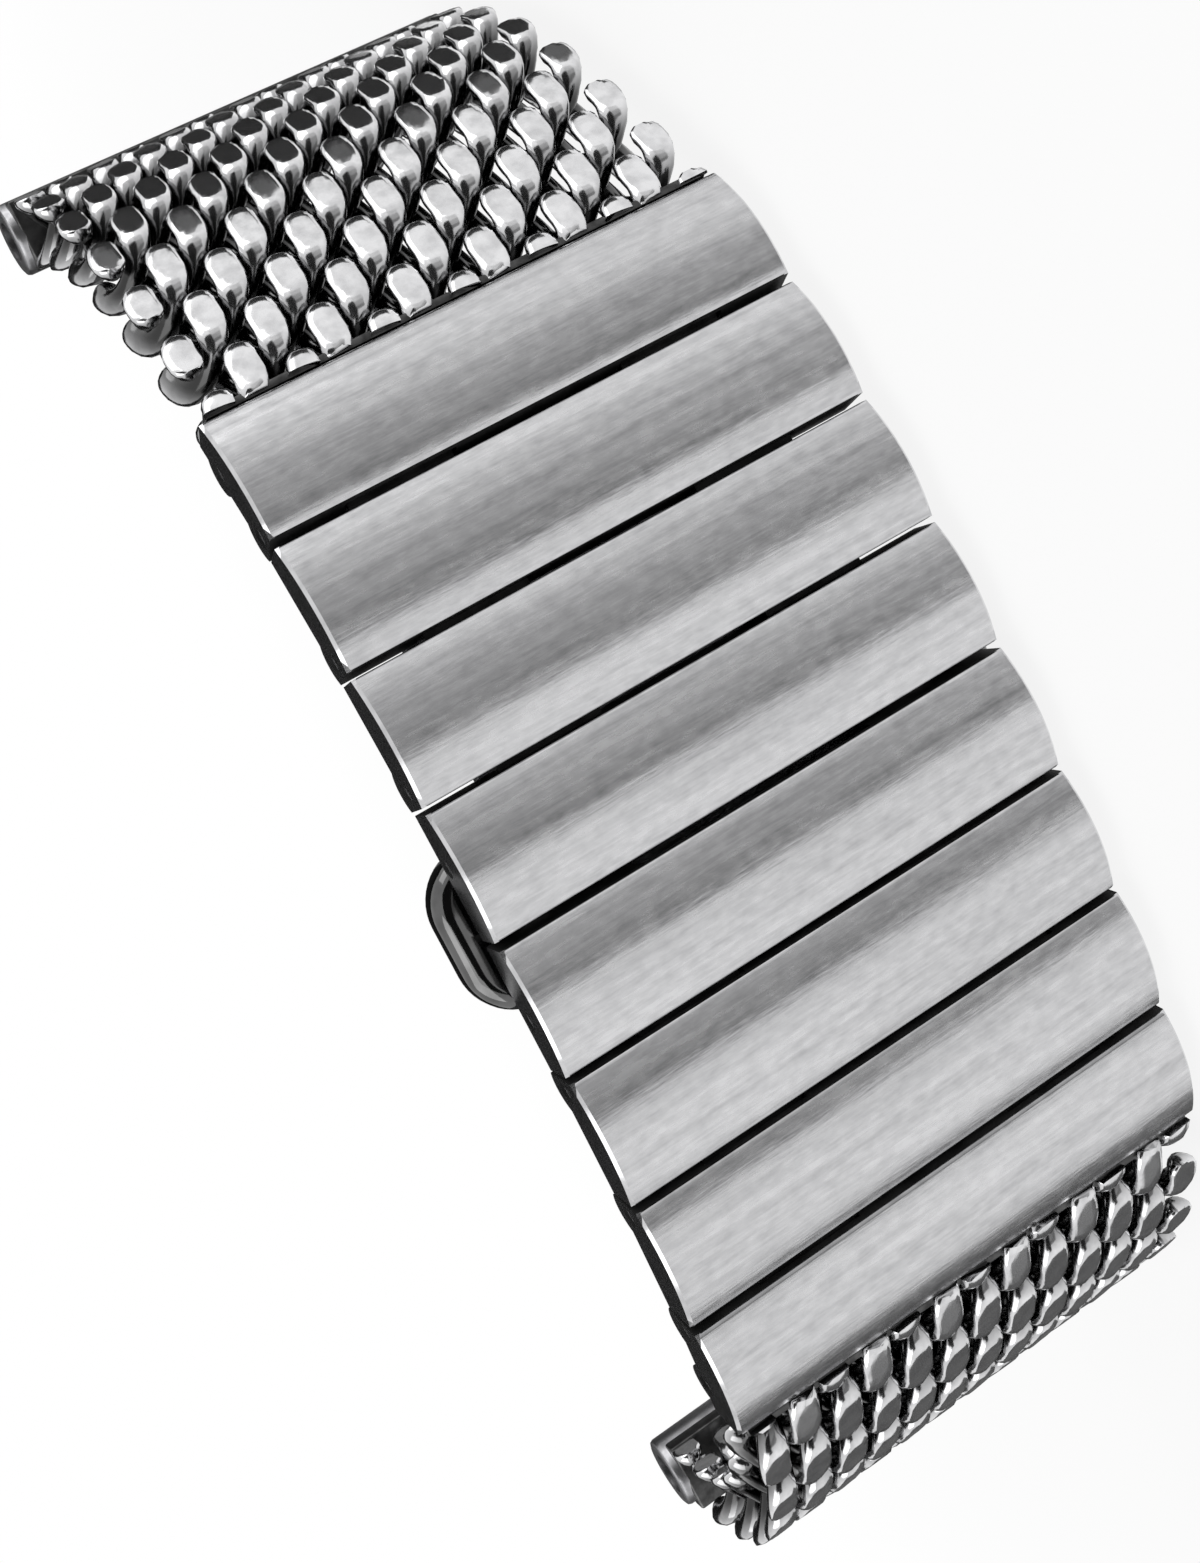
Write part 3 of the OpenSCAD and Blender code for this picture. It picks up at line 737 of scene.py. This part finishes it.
for number in range(1, 9):
    k, hand = (4 - number, 1) if number < 5 else (number - 5, -1)
    out_of_bar = bar_frame(k, hand)
    into_bar = out_of_bar.inverted()

    def narrow_chamfer(point):
        """Draws the chamfer at the bar's ends in to the fine polished line of the real one."""
        p = into_bar @ point
        side = 1 if p.z > MID_Z else -1
        to_end = (HIGH_Z if side > 0 else LOW_Z) - p.z
        middle_x, middle_y = BAR_W / 2 - BAR_NOSE, CROWN_R - SHOULDER - BAR_CROWN
        radius = sqrt((p.x - middle_x) ** 2 + (p.y - middle_y) ** 2)
        if p.y > CROWN_FROM:
            return point
        if abs(radius - CROWN_R) < NEAR and abs(abs(to_end) - SOURCE_CHAMFER) < NEAR:
            p.z += to_end - side * CHAMFER
        elif abs(radius - CROWN_R + SOURCE_CHAMFER) < NEAR and abs(to_end) < NEAR:
            p.y = middle_y - sqrt((CROWN_R - CHAMFER) ** 2 - (p.x - middle_x) ** 2)
        return out_of_bar @ p

    def long_edge(a, b):
        """Whether two points are the ends of one of the bar's long outer edges."""
        p, q = into_bar @ a, into_bar @ b
        for x in (-BAR_NOSE, BAR_W - BAR_NOSE):
            if all(abs(v.x - x) < NEAR and abs(v.y + SHOULDER) < NEAR for v in (p, q)):
                return abs(a.z - b.z) > LONG_EDGE
        return False

    def finish_of(face):
        """0 for brushed faces, 1 for polished edges, 2 for the flanks in the gaps, painted near-black as
        shade, 3 for ground ends.
        """
        middle = into_bar @ face.center
        normal = (into_bar.to_3x3() @ face.normal).normalized()
        upright = abs(normal.z)
        outside = not -BAR_NOSE + EASE < middle.x < BAR_W - BAR_NOSE - EASE
        rounded = outside and middle.y < -SHOULDER + EDGE_REACH
        at_end = min(middle.z - LOW_Z, HIGH_Z - middle.z) < CHAMFER
        chamfered = LEANING < upright < END_NORMAL and at_end and middle.y < CROWN_FROM
        if chamfered or rounded and upright < LENGTHWISE:
            return 1
        # Faces in the gaps between bars get the painted shade
        in_gap = middle.y > -SHOULDER + EDGE_REACH and (outside or normal.y < UNDERSIDE)
        if upright < LEANING and in_gap:
            return 2
        if upright > END_NORMAL:
            return 3
        return 0

    finishes = (BAR_STEEL, EDGE_STEEL, GAP_SHADE_STEEL, END_STEEL)
    node = "bar_%d" % number
    bar = eased_copy(node, "polished_" + node, narrow_chamfer, long_edge, finish_of, finishes)
    bpy.ops.object.shade_smooth_by_angle(angle=radians(BAR_SMOOTH))
    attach(bar, "link_%d" % number)
    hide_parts(node)


# Buttons and their springs

HEAD_HALF = 3.1 * MM
HEAD_DEEP = 2.8 * MM
HEAD_Y = 2.1 * MM
HEAD_THICK = 1.9 * MM
HEAD_CORNER, CORNER_STEPS = 2.1 * MM, 12
HEAD_EASE, HEAD_EASE_STEPS = 0.88 * MM, 6
STEM_R = 0.5 * MM
STEM_Y = 1.95 * MM
STEM_LONG = 3.6 * MM
STEM_SUNK = 0.3 * MM
# Lengths that tell the head's thickness from its level edges
THICKNESS_EDGE = 0.5 * MM
LEVEL_EDGE = 0.1 * MM


def domed_button(name, top):
    """A push button: an oval dome on a round stem that reaches into the clasp."""
    outwards = 1 if top else -1
    outer = 2 * MID_Z if top else 0
    inner = outer - outwards * HEAD_DEEP
    start_edit(
        bpy.ops.mesh.primitive_cube_add,
        size=1,
        location=(HOME.x, HOME.y + HEAD_Y, (outer + inner) / 2),
        scale=(2 * HEAD_HALF, HEAD_THICK, HEAD_DEEP),
    )
    select_edges(lambda a, b: abs(a.y - b.y) > THICKNESS_EDGE and (a.z - inner) * outwards > HEAD_DEEP / 2)
    bpy.ops.mesh.bevel(offset=HEAD_CORNER, segments=CORNER_STEPS, affect="EDGES")
    select_edges(lambda a, b: abs(a.y - b.y) < LEVEL_EDGE)
    bpy.ops.mesh.bevel(offset=HEAD_EASE, segments=HEAD_EASE_STEPS, affect="EDGES", clamp_overlap=True)
    head = end_edit(name)
    stem_ends = (inner + outwards * STEM_SUNK, inner - outwards * STEM_LONG)
    stem = round_pin(name + "_stem", STEM_R, STEM_Y, stem_ends)
    return join_pieces([head, stem], name)


def select_edges(wanted):
    """Selects the edges of the piece in hand by their two ends, in the object's frame."""
    bpy.ops.object.mode_set(mode="OBJECT")
    piece = bpy.context.object
    places = [piece.matrix_world @ v.co for v in piece.data.vertices]
    bpy.ops.object.mode_set(mode="EDIT")
    bpy.ops.mesh.select_mode(type="EDGE")
    bpy.ops.mesh.select_all(action="DESELECT")
    bpy.ops.object.mode_set(mode="OBJECT")
    for edge in piece.data.edges:
        a, b = edge.vertices
        edge.select = wanted(places[a], places[b])
    bpy.ops.object.mode_set(mode="EDIT")


def round_pin(name, radius, y, ends):
    """A round pin along Z between two heights."""
    start_edit(
        bpy.ops.mesh.primitive_cylinder_add,
        vertices=32,
        radius=radius,
        depth=abs(ends[1] - ends[0]),
        location=(HOME.x, HOME.y + y, (ends[0] + ends[1]) / 2),
    )
    return end_edit(name)


for word, top in (("top", True), ("bottom", False)):
    button = domed_button("push_button_" + word, top)
    finish_piece(
        button, BUTTON_PAINTED_DARK, "button_steel", word + "_button", "button_" + word, angle=BUTTON_SMOOTH
    )
    spring = own_copy("spring_" + word, "coiled_spring_" + word)
    finish_piece(spring, SPRING_STEEL, "spring_steel", "clasp", "spring_" + word)
    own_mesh(spring)


# Finishes of the solid parts

FINISH = {
    "bar_steel": BAR_STEEL,
    "wire_steel": WIRE_STEEL,
    "pin_steel": PIN_STEEL,
    "button_steel": BUTTON_PAINTED_DARK,
    "clasp_steel": CLASP_STEEL,
    "spring_steel": SPRING_STEEL,
}
for part in frame["record"]["subparts"]:
    node = frame["nodes"][part["node"]]
    material = FINISH[part["material_slot"]]
    for slot in node.material_slots:
        slot.material = material


# Floor, background and light

FLOOR_SIZE = 3
FLOOR_GREY = 0.9
FLOOR_ROUGHNESS = 0.9
# The floor that the camera sees: its share of pure white near the part, and where it fades to all white
FLOOR_WHITE = 0.85
FADE_FROM, FADE_TO = 30 * MM, 150 * MM
WORLD_LEVEL = 0.5
LAMPS_AIM = (0, 0, 0.012)
# How far away the cards stand, and the middle and height of those at the front
FAR = 0.5
FRONT_Z, FRONT_HIGH = -0.15, 0.4


def white_for_view(material_or_world, plain, white, out):
    """The camera and the metal's reflections see the white; diffuse light comes from the plain one."""
    nodes, links = material_or_world.node_tree.nodes, material_or_world.node_tree.links
    path = nodes.new("ShaderNodeLightPath")
    seen = path.outputs["Is Camera Ray"]
    for ray in ("Is Glossy Ray", "Is Transmission Ray"):
        either = nodes.new("ShaderNodeMath")
        either.operation = "MAXIMUM"
        links.new(seen, either.inputs[0])
        links.new(path.outputs[ray], either.inputs[1])
        seen = either.outputs[0]
    mix = nodes.new("ShaderNodeMixShader")
    links.new(seen, mix.inputs["Fac"])
    links.new(plain, mix.inputs[1])
    links.new(white, mix.inputs[2])
    links.new(mix.outputs[0], out)


def pale_floor():
    bpy.ops.object.select_all(action="DESELECT")
    bpy.ops.mesh.primitive_plane_add(size=FLOOR_SIZE, location=(0, 0, 0))
    floor = bpy.context.object
    floor.name = "floor"
    material = bpy.data.materials.new("pale_floor")
    material.use_nodes = True
    nodes, links = material.node_tree.nodes, material.node_tree.links
    shader = nodes["Principled BSDF"]
    shader.inputs["Base Color"].default_value = (FLOOR_GREY, FLOOR_GREY, FLOOR_GREY, 1)
    shader.inputs["Roughness"].default_value = FLOOR_ROUGHNESS
    shader.inputs["Specular IOR Level"].default_value = 0
    glow = nodes.new("ShaderNodeEmission")
    glow.inputs["Strength"].default_value = 1
    shaded = nodes.new("ShaderNodeMixShader")
    where = nodes.new("ShaderNodeTexCoord")
    reach = nodes.new("ShaderNodeVectorMath")
    reach.operation = "LENGTH"
    links.new(where.outputs["Object"], reach.inputs[0])
    fade = nodes.new("ShaderNodeMapRange")
    fade.interpolation_type = "SMOOTHSTEP"
    fade.inputs["From Min"].default_value = FADE_FROM
    fade.inputs["From Max"].default_value = FADE_TO
    fade.inputs["To Min"].default_value = FLOOR_WHITE
    fade.inputs["To Max"].default_value = 1
    links.new(reach.outputs["Value"], fade.inputs["Value"])
    links.new(fade.outputs["Result"], shaded.inputs["Fac"])
    links.new(shader.outputs[0], shaded.inputs[1])
    links.new(glow.outputs[0], shaded.inputs[2])
    white_for_view(material, shader.outputs[0], shaded.outputs[0], nodes["Material Output"].inputs["Surface"])
    floor.data.materials.append(material)
    floor.visible_glossy = False


def studio_world():
    world = bpy.data.worlds.new("studio")
    bpy.context.scene.world = world
    world.use_nodes = True
    nodes = world.node_tree.nodes
    nodes.clear()
    plain = nodes.new("ShaderNodeBackground")
    plain.inputs["Strength"].default_value = WORLD_LEVEL
    white = nodes.new("ShaderNodeBackground")
    for background in (plain, white):
        background.inputs["Color"].default_value = (1, 1, 1, 1)
    out = nodes.new("ShaderNodeOutputWorld")
    white_for_view(world, plain.outputs[0], white.outputs[0], out.inputs["Surface"])


def soft_box(name, place, aim, size, watts):
    data = bpy.data.lights.new(name, "AREA")
    data.shape = "RECTANGLE"
    data.size, data.size_y = size
    data.energy = watts
    lamp = bpy.data.objects.new(name, data)
    bpy.context.scene.collection.objects.link(lamp)
    lamp.location = place
    lamp.rotation_euler = (Vector(aim) - Vector(place)).to_track_quat("-Z", "Y").to_euler()


def grey_card(name, middle, turn, width, height, tone):
    """An upright card far outside the picture, which shows only in the polished metal."""
    bpy.ops.object.select_all(action="DESELECT")
    bpy.ops.mesh.primitive_plane_add(size=1, location=middle, rotation=(pi / 2, 0, turn))
    card = bpy.context.object
    card.name = name
    card.scale = (width, height, 1)
    bpy.ops.object.transform_apply(location=True, rotation=True, scale=True)
    material = bpy.data.materials.new(name)
    material.use_nodes = True
    nodes, links = material.node_tree.nodes, material.node_tree.links
    nodes.remove(nodes["Principled BSDF"])
    grey = nodes.new("ShaderNodeEmission")
    grey.inputs["Color"].default_value = (tone, tone, tone, 1)
    links.new(grey.outputs[0], nodes["Material Output"].inputs["Surface"])
    card.data.materials.append(material)
    card.visible_camera = False
    card.visible_diffuse = False
    card.visible_shadow = False


bpy.context.scene.view_settings.view_transform = "Standard"
pale_floor()
studio_world()
soft_box("key", (-0.2, -0.2, 0.35), LAMPS_AIM, (0.4, 0.4), 0.9)
soft_box("side", (0.35, -0.05, 0.12), LAMPS_AIM, (0.25, 0.3), 0.4)

# Cards at the front, each from one angle to another in degrees and with its tone
for name, start, end, tone in (
    ("front_card_dark", -9, 7, 0.28),
    ("front_card_middle", 7, 32, 0.5),
    ("front_card_light", 32, 55, 0.72),
):
    left, right = FAR * tan(radians(start)), FAR * tan(radians(end))
    grey_card(name, ((left + right) / 2, -FAR, FRONT_Z), 0, right - left, FRONT_HIGH, tone)

# Cards above the camera, at the left, at the right and at the back: place, turn, width, height and tone
grey_card("camera_card", (0.05, -FAR, 0.3), 0, 0.7, 0.5, 0.03)
grey_card("left_card", (-FAR, 0.4, -0.1), pi / 2, 0.9, 0.5, 0.12)
grey_card("right_card", (FAR, 0.45, -0.15), pi / 2, 0.84, 0.34, 0.03)
grey_card("back_card", (0, FAR, -0.17), 0, 0.6, 0.36, 0.18)
grey_card("back_high_card", (0, FAR, 0.19), 0, 1.2, 0.36, 0.02)
